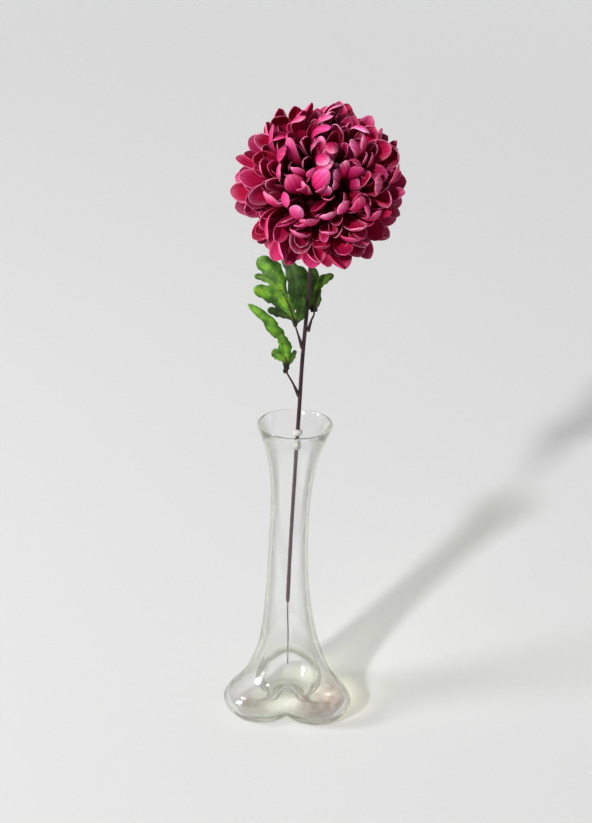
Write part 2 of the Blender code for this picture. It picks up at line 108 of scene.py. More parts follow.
def ringFaces(first, rows, sides, turned=False):
    # The faces between rows of points that each go once round.
    faces = []
    for row in range(rows - 1):
        low, high = first + row * sides, first + (row + 1) * sides
        for i in range(sides):
            j = (i + 1) % sides
            face = (low + i, low + j, high + j, high + i)
            faces.append((face[0], face[3], face[2], face[1]) if turned else face)
    return faces


def paint(mesh, colours):
    layer = mesh.color_attributes.new("tint", "FLOAT_COLOR", "POINT")
    for spot, colour in zip(layer.data, colours):
        spot.color = (*colour, 1.0)


def thicken(piece, thickness):
    cloth = piece.modifiers.new("Cloth thickness", "SOLIDIFY")
    cloth.thickness = thickness * mm
    cloth.offset = 0.0


def newTube(name, route, radius, sides=4):
    # A round bar as a curve; route holds (point, share of the radius) pairs.
    curve = bpy.data.curves.new(name, "CURVE")
    curve.dimensions = "3D"
    curve.bevel_depth = radius * mm
    curve.bevel_resolution = sides
    curve.use_fill_caps = True
    addRun(curve, route)
    return curve


def addRun(curve, route):
    spline = curve.splines.new("POLY")
    spline.points.add(len(route) - 1)
    spline.use_smooth = True
    for spot, (place, share) in zip(spline.points, route):
        spot.co = (*(part * mm for part in place), 1.0)
        spot.radius = share


def addNode(tree, kind, settings, links=()):
    # Adds one node. A setting is an input socket where the node has one of that name,
    # and a property otherwise.
    node = tree.nodes.new(kind)
    for name, value in settings.items():
        if name in node.inputs:
            node.inputs[name].default_value = value
        else:
            setattr(node, name, value)
    for socket, source in links:
        tree.links.new(source, node.inputs[socket])
    return node


def newMaterial(name, settings):
    material = bpy.data.materials.new(name)
    material.use_nodes = True
    tree = material.node_tree
    shader = tree.nodes["Principled BSDF"]
    for socket, value in settings.items():
        shader.inputs[socket].default_value = value
    return material, tree, shader


grainSpan = (0.3, 0.7)       # nearly all of a noise texture's values lie between these two


def addGrain(tree, spacing, detail):
    # Uneven spots about this many millimetres apart, fixed to the piece.
    place = addNode(tree, "ShaderNodeTexCoord", {})
    grain = addNode(tree, "ShaderNodeTexNoise", {"Scale": 1 / (spacing * mm), "Detail": detail}, [
        ("Vector", place.outputs["Object"]),
    ])
    return grain.outputs["Fac"]


def addBlend(tree, share, first, second):
    blend = addNode(tree, "ShaderNodeMix", {"data_type": "RGBA"}, [("Factor", share)])
    blend.inputs[6].default_value = (*toLinear(first), 1)
    blend.inputs[7].default_value = (*toLinear(second), 1)
    return blend.outputs[2]


def addShading(tree, colour, grain, span):
    # Darker and lighter with the grain, between two shares of the colour.
    share = addNode(tree, "ShaderNodeMapRange", {
        "From Min": grainSpan[0], "From Max": grainSpan[1], "To Min": span[0], "To Max": span[1],
    }, [("Value", grain)])
    shaded = addNode(tree, "ShaderNodeVectorMath", {"operation": "SCALE"}, [
        (0, colour),
        ("Scale", share.outputs["Result"]),
    ])
    return shaded.outputs["Vector"]


def addBump(tree, height, strength, depth, *under):
    # A relief up to depth millimetres high, on top of a finer one where that is given.
    bump = addNode(tree, "ShaderNodeBump", {"Strength": strength, "Distance": depth * mm}, [
        ("Height", height),
        *(("Normal", normal) for normal in under),
    ])
    return bump.outputs["Normal"]


# Materials

petalCloth = {
    "threadSpacing": 0.9,    # mm; the real weave is near 0.2 mm, drawn coarser so that it shows
    "threadDepth": 0.1,      # mm
    "threadStrength": 0.15,
    "creaseSpacing": 1.6,    # mm between the pressed-in lengthwise creases
    "creaseLength": 16.0,    # mm
    "creaseDepth": 0.35,     # mm
    "creaseStrength": 0.5,
    # the darkest and brightest painted crease shade and light, as shares of the dye
    "shading": (0.72, 1.28),
    "roughness": 0.58,
    "specular": 0.12,
}


def makePetalCloth():
    # Polyester satin, dyed and heat-formed: a soft silky shine on a nearly matt face,
    # with pressed-in creases and painted shade and light along them.
    material, tree, shader = newMaterial("dyed polyester satin", {
        "Roughness": petalCloth["roughness"],
        "IOR": 1.5,
        "Specular IOR Level": petalCloth["specular"],
    })
    tint = addNode(tree, "ShaderNodeAttribute", {"attribute_name": "tint"})
    cloth = addNode(tree, "ShaderNodeUVMap", {"uv_map": "cloth"})
    creasePlace = addNode(tree, "ShaderNodeVectorMath", {"operation": "MULTIPLY"}, [
        (0, cloth.outputs["UV"]),
    ])
    creasesPerMm = (1 / petalCloth["creaseSpacing"], 1 / petalCloth["creaseLength"], 1)
    creasePlace.inputs[1].default_value = creasesPerMm
    creases = addNode(tree, "ShaderNodeTexNoise", {"Scale": 1.0, "Detail": 2.0}, [
        ("Vector", creasePlace.outputs["Vector"]),
    ])
    weavePlace = addNode(tree, "ShaderNodeVectorMath", {
        "operation": "SCALE", "Scale": 1 / petalCloth["threadSpacing"],
    }, [(0, cloth.outputs["UV"])])
    weave = addNode(tree, "ShaderNodeTexNoise", {"Scale": 1.0, "Detail": 1.0}, [
        ("Vector", weavePlace.outputs["Vector"]),
    ])
    # The colour darkens and lightens with the same creases as the relief: painted shade and light.
    creaseShaded = addShading(tree, tint.outputs["Color"], creases.outputs["Fac"], petalCloth["shading"])
    tree.links.new(creaseShaded, shader.inputs["Base Color"])
    threads = addBump(tree, weave.outputs["Fac"], petalCloth["threadStrength"], petalCloth["threadDepth"])
    relief = addBump(
        tree, creases.outputs["Fac"], petalCloth["creaseStrength"], petalCloth["creaseDepth"], threads,
    )
    tree.links.new(relief, shader.inputs["Normal"])
    return material


leafCloth = {
    "threadSpacing": 1.0,    # mm; coarser than the real 0.25 mm so that it shows
    "threadDepth": 0.25,     # mm
    "threadStrength": 0.35,
    "mottleSize": 5.0,       # mm between lighter and darker spots of the print
    "shading": (0.65, 1.35),
    "roughness": 0.5,
    "specular": 0.2,
}


def makeLeafCloth():
    # Polyester cloth, printed green and wax-stiffened: a slightly waxy face, uneven print, woven grain.
    material, tree, shader = newMaterial("printed stiffened polyester", {
        "Roughness": leafCloth["roughness"],
        "IOR": 1.5,
        "Specular IOR Level": leafCloth["specular"],
    })
    tint = addNode(tree, "ShaderNodeAttribute", {"attribute_name": "tint"})
    mottle = addGrain(tree, leafCloth["mottleSize"], 3.0)
    printed = addShading(tree, tint.outputs["Color"], mottle, leafCloth["shading"])
    tree.links.new(printed, shader.inputs["Base Color"])
    weave = addGrain(tree, leafCloth["threadSpacing"], 1.0)
    relief = addBump(tree, weave, leafCloth["threadStrength"], leafCloth["threadDepth"])
    tree.links.new(relief, shader.inputs["Normal"])
    return material


coating = {
    "dark": "#1a0c10",
    "light": "#3a2027",
    "mottleSize": 9.0,       # mm
    "ridgeSpacing": 1.1,     # mm between the small uneven ridges left by the dipping
    "ridgeDepth": 0.2,       # mm
    "ridgeStrength": 0.3,
    "roughness": 0.45,
    "specular": 0.3,
}


def makeCoating():
    # Polyethylene, dip-moulded over the wire: dark brown, waxy, with a faint uneven surface.
    material, tree, shader = newMaterial("dip-moulded polyethylene", {
        "Roughness": coating["roughness"],
        "IOR": 1.51,
        "Specular IOR Level": coating["specular"],
    })
    mottle = addGrain(tree, coating["mottleSize"], 3.0)
    mottled = addBlend(tree, mottle, coating["dark"], coating["light"])
    tree.links.new(mottled, shader.inputs["Base Color"])
    ridges = addGrain(tree, coating["ridgeSpacing"], 1.0)
    relief = addBump(tree, ridges, coating["ridgeStrength"], coating["ridgeDepth"])
    tree.links.new(relief, shader.inputs["Normal"])
    return material


# Milky drops on the stem that stand in for the lip's glints: painted glints.
glintDropLook = {
    "dark": "#a2a29e",
    "light": "#e4e4e2",
    "rippleSize": 1.8,       # mm
    "rippleDepth": 0.3,      # mm
    "rippleStrength": 0.4,
    "clearness": 0.35,       # share of the light that goes through
    "roughness": 0.12,
}


def makeGlintDropMaterial():
    # Milky, partly clear drops with a wet shine and small ripples, standing in for the lip's glints:
    # painted glints, with painted grey shading along the ripples.
    material, tree, shader = newMaterial("milky painted glint drops", {
        "Roughness": glintDropLook["roughness"],
        "IOR": 1.49,
        "Transmission Weight": glintDropLook["clearness"],
    })
    ripples = addGrain(tree, glintDropLook["rippleSize"], 1.0)
    milk = addBlend(tree, ripples, glintDropLook["dark"], glintDropLook["light"])
    tree.links.new(milk, shader.inputs["Base Color"])
    relief = addBump(tree, ripples, glintDropLook["rippleStrength"], glintDropLook["rippleDepth"])
    tree.links.new(relief, shader.inputs["Normal"])
    return material


wireSteel = {
    "dark": "#5c5a58",
    "light": "#8f8c88",
    "patchSize": 2.5,        # mm between the darker and lighter patches of zinc
    "roughness": 0.38,
}


def makeWireSteel():
    # Galvanised steel, drawn: dull grey with fine brighter and darker patches of zinc.
    material, tree, shader = newMaterial("galvanised drawn steel", {
        "Metallic": 1.0,
        "Roughness": wireSteel["roughness"],
    })
    patches = addGrain(tree, wireSteel["patchSize"], 2.0)
    zinc = addBlend(tree, patches, wireSteel["dark"], wireSteel["light"])
    tree.links.new(zinc, shader.inputs["Base Color"])
    return material


vaseGlass = {
    "waveSize": 16.0,        # mm between the soft waves left by hand shaping
    "waveHeight": 0.12,      # mm
    "absorbs": "#d2d6c6",    # what a long way through the glass lets pass: a faint green-yellow cast
    "density": 15.0,         # per metre
    "paintedBloomReflection": "#ae7c7a",       # painted reflection of the bloom: its pinkish brown on the floor of the hollow
    "blotchSize": 4.0,       # mm between the thin spots of the painted reflection
    "paleFrom": 0.2,         # how edge on a wall is where its outline starts to pale
    "paleTo": 0.8,           # and where it is fully pale
    "paleEdge": 0.9,         # share of the refraction that the thin outlines lose
    "edgeTint": "#f4f5ef",
    "shadowMiddle": "#e6e7de",
    "shadowEdge": "#92948a",
    "shadowSpread": 0.35,
}


def makeVaseGlass():
    # Soda-lime glass, mouth-blown and fire-polished: clear, with soft waves
    # and a faint green-yellow cast where it is thick.
    material, tree, shader = newMaterial("mouth-blown soda-lime glass", {
        "Roughness": 0.0,
        "IOR": 1.52,
        "Transmission Weight": 1.0,
    })
    # The tint is white except for the painted reflection of the bloom on the hollow's floor.
    paintedBloomReflection = addNode(tree, "ShaderNodeAttribute", {"attribute_name": "tint"})
    tree.links.new(paintedBloomReflection.outputs["Color"], shader.inputs["Base Color"])
    waves = addGrain(tree, vaseGlass["waveSize"], 2.0)
    tree.links.new(addBump(tree, waves, 1.0, vaseGlass["waveHeight"]), shader.inputs["Normal"])
    body = addNode(tree, "ShaderNodeVolumeAbsorption", {
        "Color": (*toLinear(vaseGlass["absorbs"]), 1),
        "Density": vaseGlass["density"],
    })
    output = tree.nodes["Material Output"]
    tree.links.new(body.outputs["Volume"], output.inputs["Volume"])
    slant = addNode(tree, "ShaderNodeLayerWeight", {"Blend": vaseGlass["shadowSpread"]})
    wall = addPaleOutline(tree, shader.outputs["BSDF"], slant.outputs["Facing"])
    # Light goes through to the floor and the stem, less of it where it grazes the wall.
    dimming = addBlend(tree, slant.outputs["Facing"], vaseGlass["shadowMiddle"], vaseGlass["shadowEdge"])
    passing = addNode(tree, "ShaderNodeBsdfTransparent", {}, [("Color", dimming)])
    ray = addNode(tree, "ShaderNodeLightPath", {})
    both = addNode(tree, "ShaderNodeMixShader", {}, [
        (0, ray.outputs["Is Shadow Ray"]),
        (1, wall),
        (2, passing.outputs["BSDF"]),
    ])
    tree.links.new(both.outputs["Shader"], output.inputs["Surface"])
    return material


def addPaleOutline(tree, glass, facing):
    # A thin blown wall seen edge on is a pale grey line, not a black one.
    grazing = addNode(tree, "ShaderNodeMapRange", {
        "From Min": vaseGlass["paleFrom"], "From Max": vaseGlass["paleTo"],
        "To Min": 0.0, "To Max": vaseGlass["paleEdge"],
    }, [("Value", facing)])
    thin = addNode(tree, "ShaderNodeBsdfTransparent", {"Color": (*toLinear(vaseGlass["edgeTint"]), 1)})
    wall = addNode(tree, "ShaderNodeMixShader", {}, [
        (0, grazing.outputs["Result"]),
        (1, glass),
        (2, thin.outputs["BSDF"]),
    ])
    return wall.outputs["Shader"]


# Vase

vase = {
    "sides": 120,
    "rowsPerSpan": 4,
    "baseTurn": -2.0,        # degrees that the lobes are turned about the vase's axis
    "grooveSoftness": 0.5,
    "lobeFullness": 0.8,     # below 1 the lobes are broader
    # height, radius at a lobe, radius at a groove, from the middle of the underside out and up to the lip
    "outside": (
        (9.2, 2.2, 2.0),
        (8.0, 5.0, 4.2),
        (5.4, 8.0, 6.2),
        (2.8, 11.6, 7.8),
        (0.9, 16.5, 9.4),
        (0.0, 24.0, 11.2),
        (0.0, 30.8, 12.8),
        (0.9, 35.4, 15.0),
        (2.6, 38.1, 17.0),
        (5.6, 40.8, 19.9),
        (9.5, 43.3, 22.7),
        (13.5, 44.1, 24.4),
        (17.5, 41.9, 25.1),
        (21.5, 36.9, 24.8),
        (25.0, 32.2, 24.2),
        (28.5, 28.7, 23.3),
        (33.0, 25.8, 22.2),
        (38.5, 23.2, 20.8),
        (46.0, 20.1, 19.1),
        (56.0, 17.6, 17.3),
        (68.0, 15.7, 15.6),
        (82.0, 14.1, 14.1),
        (98.0, 13.0, 13.0),
        (134.0, 12.2, 12.2),
        (150.0, 12.6, 12.6),
        (163.0, 13.6, 13.6),
        (174.0, 15.3, 15.3),
        (183.0, 17.5, 17.5),
        (190.0, 19.8, 19.8),
        (195.5, 22.0, 22.0),
        (198.5, 23.2, 23.2),
        (199.6, 23.4, 23.4),
        (200.0, 22.9, 22.9),
    ),
    # the same for the hollow, from the lip down into the lobes and up the raised middle of the floor
    "inside": (
        (199.6, 22.0, 22.0),
        (198.0, 21.2, 21.2),
        (195.0, 19.7, 19.7),
        (190.0, 17.6, 17.6),
        (183.0, 15.3, 15.3),
        (174.0, 13.1, 13.1),
        (163.0, 11.4, 11.4),
        (150.0, 10.4, 10.4),
        (134.0, 10.0, 10.0),
        (98.0, 10.8, 10.8),
        (82.0, 11.9, 11.9),
        (68.0, 13.2, 13.2),
        (56.0, 14.8, 14.7),
        (47.0, 16.6, 16.0),
        (40.5, 19.0, 17.4),
        (34.0, 22.2, 18.9),
        (28.0, 26.0, 20.4),
        (24.5, 29.2, 20.9),
        (21.0, 33.5, 21.3),
        (17.5, 37.8, 21.5),
        (13.5, 40.3, 20.8),
        (9.5, 39.5, 19.2),
        (6.5, 36.8, 17.1),
        (4.6, 33.0, 15.0),
        (3.8, 27.5, 13.2),
        (4.2, 21.0, 11.6),
        (6.0, 15.0, 10.0),
        (8.8, 10.6, 8.2),
        (11.2, 6.8, 5.8),
        (12.6, 3.0, 2.8),
    ),
    "sharpEdge": 50,         # degrees
    "paintedReflectionTop": 24.0,         # no painted reflection above this height
    # patches of painted reflection of the bloom: middle, size and strength
    "paintedBloomReflection": (
        ((24.0, -8.0, 11.0), 17.0, 0.9),
        ((-25.0, -7.0, 8.0), 11.0, 0.55),
        ((-12.0, 8.0, 14.0), 8.0, 0.45),
    ),
    # height and how far the middle of the section stands to the right
    "bow": (
        (0, 0.0), (30, 0.0), (45, -0.2), (60, -1.0), (80, -1.9), (100, -2.3),
        (120, -2.3), (140, -1.8), (155, -1.3), (170, -0.9), (185, -0.6), (200, 0.0),
    ),
}


def lobeShare(angle):
    # 1 at the middle of each of the three lobes and 0 in the grooves between them.
    softness = vase["grooveSoftness"]
    third = 2 * pi / 3
    turn = (angle - radians(90 + vase["baseTurn"]) + third / 2) % third - third / 2
    share = (sqrt(cos(1.5 * turn) ** 2 + softness ** 2) - softness) / (sqrt(1 + softness ** 2) - softness)
    return share ** vase["lobeFullness"]


def paintedReflectionShare(place):
    # How much painted reflection of the bloom lies on a point of the hollow's floor: most in the right
    # lobe, some in the left one.
    share = 0.0
    for spot, size, strength in vase["paintedBloomReflection"]:
        share = max(share, strength * smooth(1.5 - (place - Vector(spot)).length / size))
    blotch = 0.5 + 0.5 * noise.noise(place / vaseGlass["blotchSize"])
    return share * (0.35 + 0.65 * smooth(blotch * 2.4 - 0.6))


def makeVase(material):
    rows = curveThrough([Vector(row) for row in vase["outside"] + vase["inside"]], vase["rowsPerSpan"])
    sides = vase["sides"]
    points = []
    for height, lobe, groove in rows:
        middle = readTable(vase["bow"], height)
        for i in range(sides):
            angle = radians(vase["baseTurn"]) + 2 * pi * i / sides
            radius = groove + (lobe - groove) * lobeShare(angle)
            points.append((radius * cos(angle) + middle, radius * sin(angle), max(height, 0.0)))
    faces = ringFaces(0, len(rows), sides)
    last = (len(rows) - 1) * sides
    foot, floor = len(points), len(points) + 1
    points += [(0, 0, rows[0].x), (0, 0, rows[-1].x)]
    for i in range(sides):
        j = (i + 1) % sides
        faces.append((foot, j, i))
        faces.append((floor, last + i, last + j))
    mesh = newMesh("vase", points, faces)
    clear, paintedBloomReflection = toLinear("#ffffff"), toLinear(vaseGlass["paintedBloomReflection"])
    inside = len(vase["outside"]) * vase["rowsPerSpan"] * sides
    # The hollow's floor gets the painted pinkish reflection of the bloom.
    paint(mesh, [
        mixed(clear, paintedBloomReflection, paintedReflectionShare(Vector(point)) if i > inside and point[2] < vase["paintedReflectionTop"] else 0.0)
        for i, point in enumerate(points)
    ])
    mesh.set_sharp_from_angle(angle=radians(vase["sharpEdge"]))
    return addPiece("vaseGlass", mesh, material, "clear_glass", "vase")


# Stem and wire

stem = {
    "radius": 1.25,
    "wireRadius": 0.5,
    "coatingEnd": 75.0,
    "coatingStart": (0.72, 0.94),    # shares of the radius at the coating's rounded lower end
    "socketDepth": 4.0,
    "stubLength": 9.0,
    "stubShares": (1.0, 0.98, 0.86, 0.72, 0.62),    # of the radius, from the stem out
    "petioleRadius": 0.6,
    "depth": 2.5,            # how far behind the vase's axis the coating ends
    "recline": 0.080,        # how far it leans back for each millimetre up
    "step": 2.0,             # mm between the points of its run
    "bendSteps": 24,
    "dropHeights": (180.3, 188.9),
    "dropRadius": 3.1,
    "dropHeight": 4.4,
    "dropNeck": 1.0,         # radius where a drop runs out on the stem
    "dropSides": 20,
    "dropRings": 9,
    # the bare wire bends back into the lobe behind, and its tip stands there against the glass
    "wireRoute": (
        (-0.85, 38.5, 9.3),
        (-0.8, 28.0, 22.0),
        (-0.85, 19.5, 33.0),
        (-0.9, 13.2, 44.0),
        (-1.2, 8.2, 55.0),
        (-1.5, 4.4, 63.5),
        (-1.65, 2.4, 70.0),
    ),
    # height and sideways place of the coated part
    "route": (
        (75.0, -1.8), (100.0, -1.3), (127.0, -0.55), (153.0, 0.4), (180.0, 1.2),
        (208.0, 2.35), (226.0, 2.8), (243.0, 3.6), (264.0, 5.0), (286.0, 6.4),
    ),
}
stemTop = stem["route"][-1][0]

bloom = {
    "centre": Vector((10.6, -18.0, 357.2)),
    "nod": 50.0,             # degrees that the head's crown tips towards the viewer
    "lean": 5.0,             # and to the right
    "radius": 50.0,
    "widening": 0.045,       # share by which the petals at the sides reach further
    "coreRadius": 30.0,
    "hubRadius": 23.0,
    "calyxHeight": 10.0,
    "seed": 6,
    "thickness": 0.36,
    "rows": 14,
    "columns": 11,
    "opening": 0.35,         # how much of the cupping the tip gives up
    "sway": 0.22,            # most sideways bend, in radians
    "looseSeed": 5,          # of what makes one petal's turn, colour and bend differ from the next one's
    "looseness": 18.0,       # extra turn of each petal about its own length, in degrees
    "reachShares": (0.86, 1.02, 0.97),    # least, most and usual reach, as shares of the radius
    "shades": (0.75, 1.15),
    # angle from the crown, number, half width, cupping and inward curl in radians
    "layers": (
        (4, 3, 5.8, 1.40, 0.8),
        (15, 8, 6.1, 1.35, 0.8),
        (27, 12, 6.4, 1.30, 0.8),
        (39, 15, 6.7, 1.25, 0.8),
        (51, 18, 7.0, 1.20, 0.8),
        (63, 19, 7.2, 1.15, 0.75),
        (76, 20, 7.5, 1.10, 0.7),
        (89, 20, 7.7, 1.05, 0.65),
        (102, 18, 7.9, 1.00, 0.55),
        (115, 15, 8.0, 0.95, 0.5),
        (128, 11, 8.2, 0.90, 0.4),
        (141, 8, 8.1, 0.85, 0.3),
        (154, 5, 7.8, 0.80, 0.25),
    ),
    # short petals that fill the gaps, by the same rule
    "innerSeed": 21,
    "innerReachShares": (0.74, 0.93, 0.84),
    # darker than the outer petals: painted shade in the gaps
    "innerShades": (0.6, 1.0),
    "innerLayers": (
        (8, 6, 5.2, 1.40, 0.6),
        (22, 11, 5.4, 1.35, 0.6),
        (36, 15, 5.6, 1.30, 0.6),
        (52, 18, 5.8, 1.25, 0.6),
        (68, 19, 6.0, 1.20, 0.6),
        (85, 19, 6.2, 1.15, 0.5),
        (103, 16, 6.4, 1.10, 0.5),
        (122, 12, 6.6, 1.00, 0.4),
        (142, 8, 6.6, 0.90, 0.3),
    ),
    "paleLeast": 0.06,       # how much of the pale edge and painted sheen every petal has
    "paleMore": 0.72,        # and how much more a few of them have
    "paleRarity": 1.6,
    "fadedMost": 0.9,        # most of the tip colour that a petal has
    # painted shade: deep red at the petals' roots, and the hollow side darker than the back
    "rootShadeColour": "#560215",
    "hollowShadeColour": "#9e0836",
    "backColour": "#b60f50",
    "tipColour": "#d64089",
    # the paler cut edge of the cloth together with a painted sheen highlight
    "edgeAndSheenColour": "#f0a0c4",
    "hollowEdge": 0.65,      # how much of the pale edge and painted sheen the hollow side has
    # painted shade: the hub's near-black red between the petals
    "hubShadeColour": "#3c0212",
    "hubRelief": 1.2,
}


def crownDirection():
    nod, lean = radians(bloom["nod"]), radians(bloom["lean"])
    return Vector((sin(lean), -sin(nod) * cos(lean), cos(nod) * cos(lean)))


def calyxFoot():
    return bloom["centre"] - crownDirection() * (bloom["coreRadius"] + bloom["calyxHeight"] - 3)


def stemPoint(height):
    near = [min(max(height + shift, stem["coatingEnd"]), stemTop) for shift in (-8, -4, 0, 4, 8)]
    across = sum(readTable(stem["route"], place) for place in near) / len(near)
    return Vector((across, stem["depth"] + stem["recline"] * (height - stem["coatingEnd"]), height))


def stemPoints(low, high, step):
    count = round((high - low) / step)
    return [stemPoint(low + (high - low) * i / count) for i in range(count + 1)]


def bendPoints(count):
    # From the top of the straight run round to the calyx and into its socket.
    start = stemPoint(stemTop)
    end = calyxFoot() - crownDirection()
    reach = (end - start).length * 0.38
    first = start + (start - stemPoint(stemTop - 10)).normalized() * reach
    second = end - crownDirection() * reach
    points = []
    for i in range(1, count + 1):
        t = i / count
        left = 1 - t
        points.append(
            start * left ** 3 + first * 3 * t * left ** 2 + second * 3 * t ** 2 * left + end * t ** 3
        )
    return points + [calyxFoot() + crownDirection() * stem["socketDepth"]]


def uneven(point, share=0.04, size=7.0):
    # A small change of thickness along a stem, the same on every run.
    return 1 + share * noise.noise(point / size)


def makeDrops(material):
    # Two milky drops on the stem just inside the rim: painted glints where the stem crosses the lip.
    points, faces = [], []
    sides, rings, neck = stem["dropSides"], stem["dropRings"], stem["dropNeck"]
    for height in stem["dropHeights"]:
        first = len(points)
        for row in range(rings):
            lift = -1 + 2 * row / (rings - 1)
            for k in range(sides):
                turn = 2 * pi * k / sides
                spoke = Vector((cos(turn), sin(turn), 0))
                radius = neck + (stem["dropRadius"] - neck) * sqrt(max(0.0, 1 - lift ** 2))
                radius *= 1 + 0.12 * noise.noise(spoke + Vector((0, 0, height)))
                points.append(stemPoint(height + lift * stem["dropHeight"] / 2) + spoke * radius)
        faces += ringFaces(first, rings, sides)
        faces.append(tuple(first + k for k in range(sides))[::-1])
        faces.append(tuple(first + (rings - 1) * sides + k for k in range(sides)))
    addPiece("paintedGlintDrops", newMesh("paintedGlintDrops", points, faces), material, "clear_glass")


def makeStem(coatingMaterial):
    route = stemPoints(stem["coatingEnd"], stemTop, stem["step"]) + bendPoints(stem["bendSteps"])
    run = [(point, uneven(point)) for point in route]
    for i, share in enumerate(stem["coatingStart"]):
        run[i] = (run[i][0], share)
    curve = newTube("stem", run, stem["radius"])
    for leaf in leaves.values():
        start, middle, end = stubRoute(leaf)
        spots = [start, start.lerp(middle, 0.5), middle, middle.lerp(end, 0.5), end]
        addRun(curve, list(zip(spots, stem["stubShares"])))
    addPiece("stemCoating", curve, coatingMaterial, "brown_coating", "stem")


def makeWire(steel):
    given = [Vector(point) for point in stem["wireRoute"]]
    given += stemPoints(stem["coatingEnd"], stem["coatingEnd"] + 3, 3)
    curve = newTube("wire", [(point, 1.0) for point in curveThrough(given, 8)], stem["wireRadius"])
    addPiece("bareWire", curve, steel, "steel_wire", "wire")


# Leaves

leafLook = {
    "thickness": 0.4,
    "grid": 1.3,             # mm between the points inside the outline
    "reach": 62.0,
    "lobeSteps": 26,
    "faceColour": "#2a4f0d",
    "brightColour": "#568818",
    # for the dark specks of the print and for painted shade
    "darkColour": "#0b1a07",
    "veinColour": "#86a545",
    "rustColour": "#6e3417",
}

# Each leaf: where its blade starts, the point of the stem that bears it, how far its tip comes forward
# for each millimetre up, its middle rib, how much of the rib the petiole stiffens, how much painted
# shade its right half has, and its lobes. A lobe has the points of its vein, its half width, how
# pointed its tip is, and how much painted shade it has.
leaves = {
    "low": {
        "base": Vector((-6.2, 6.0, 233.0)),
        "joint": Vector((1.7, 13.9, 212.6)),
        "rise": 0.30,
        "rib": ((0, 0), (-0.8, 7.6), (-1.6, 14.8), (-4.3, 20.2), (-8.4, 24.1)),
        "wired": 0.30,
        "shadedRight": 0.3,
        "lobes": (
            (((0, 0), (-0.8, 7.6), (-1.6, 14.8), (-4.3, 20.2)), 3.9, 0.3, 0.1),
            (((-1.6, 12.8), (-4.3, 20.2), (-8.4, 24.1), (-13.0, 30.3), (-24.5, 39.0)), 3.7, 0.75, 0.0),
            (((-0.4, 4.5), (-4.5, 8.6), (-9.4, 10.7)), 3.3, 0.2, 0.35),
            (((0.6, 2.4), (2.9, 7.1), (5.3, 11.9)), 1.8, 0.7, 0.6),
            (((0.2, 1.8), (-0.5, -0.4), (-1.3, -2.2)), 1.6, 0.1, 0.9),
        ),
    },
    "left": {
        "base": Vector((-1.4, 11.0, 259.3)),
        "joint": Vector((2.9, 16.0, 244.0)),
        "rise": 0.22,
        "rib": ((0, 0), (-2.6, 7.6), (-4.9, 13.5), (-9.3, 21.2)),
        "wired": 1.0,
        "shadedRight": 0.8,
        "lobes": (
            (((0, 0), (-2.6, 7.6), (-4.9, 13.5), (-9.3, 21.2)), 2.6, 0.3, 0.3),
            (((-7.0, 16.6), (-13.4, 31.2), (-24.0, 40.6)), 5.9, 0.1, 0.0),
            (((-8.4, 19.8), (-17.3, 27.9), (-25.9, 29.9)), 2.4, 0.2, 0.3),
            (((-4.2, 9.4), (-12.8, 17.8), (-26.2, 22.2)), 5.2, 0.6, 0.05),
            (((-2.2, 4.6), (-9.5, 8.0), (-17.4, 9.8)), 2.8, 0.2, 0.85),
            (((-3.4, 8.2), (-0.6, 21.0), (-2.6, 33.2), (-9.0, 42.6)), 4.9, 0.85, 0.4),
            (((-0.4, 1.6), (2.9, 8.6), (3.6, 18.4)), 3.3, 0.5, 0.6),
        ),
    },
    "back": {
        "base": Vector((9.7, 23.0, 264.7)),
        "joint": Vector((6.2, 17.2, 254.4)),
        "rise": -0.22,
        "rib": ((0, 0), (0.4, 6.0), (0.8, 12.2), (1.4, 19.0)),
        "wired": 0.75,
        "shadedRight": 0.6,
        "lobes": (
            (((0, 0), (-1.0, 10.2), (-1.4, 28.0)), 4.8, 0.4, 0.7),
            (((-0.6, 11.6), (4.2, 19.2), (11.4, 23.4)), 3.0, 0.6, 0.45),
            (((-0.6, 2.2), (-6.4, 13.9), (-10.4, 28.4)), 5.6, 0.3, 0.55),
            (((0.2, 1.2), (2.0, 6.6), (2.4, 13.0)), 2.0, 0.5, 0.8),
        ),
    },
}
# The leaves are drawn flat as the camera sees them, from 23 degrees above.
leafView = radians(23)
leafSideways = Vector((1, 0, 0))
leafUpward = Vector((0, sin(leafView), cos(leafView)))
leafToward = Vector((0, -cos(leafView), sin(leafView)))


def veinPoints(vein, count):
    given = [Vector(point) for point in vein]
    return curveThrough(given, max(1, round(count / (len(given) - 1))))


def lobeOutline(vein, halfWidth, pointed):
    spine = veinPoints(vein, leafLook["lobeSteps"])
    count = len(spine) - 1
    left, right = [], []
    for i, point in enumerate(spine):
        s = i / count
        along = spine[min(i + 1, count)] - spine[max(i - 1, 0)]
        side = Vector((-along.y, along.x)).normalized()
        body = 0.42 + 0.58 * smooth(s / (0.62 - 0.22 * pointed))
        tip = sqrt(max(0.0, 1 - max(0.0, (s - 0.55) / 0.45) ** (2.6 - 1.2 * pointed)))
        teeth = 1 + (0.10 * sin(s * 21.0 + 1.3) + 0.04 * sin(s * 47.0)) * smooth(s * 3)
        width = halfWidth * max(body * tip * teeth, 0.06)
        left.append(point + side * width)
        right.append(point - side * width)
    return right + left[::-1]


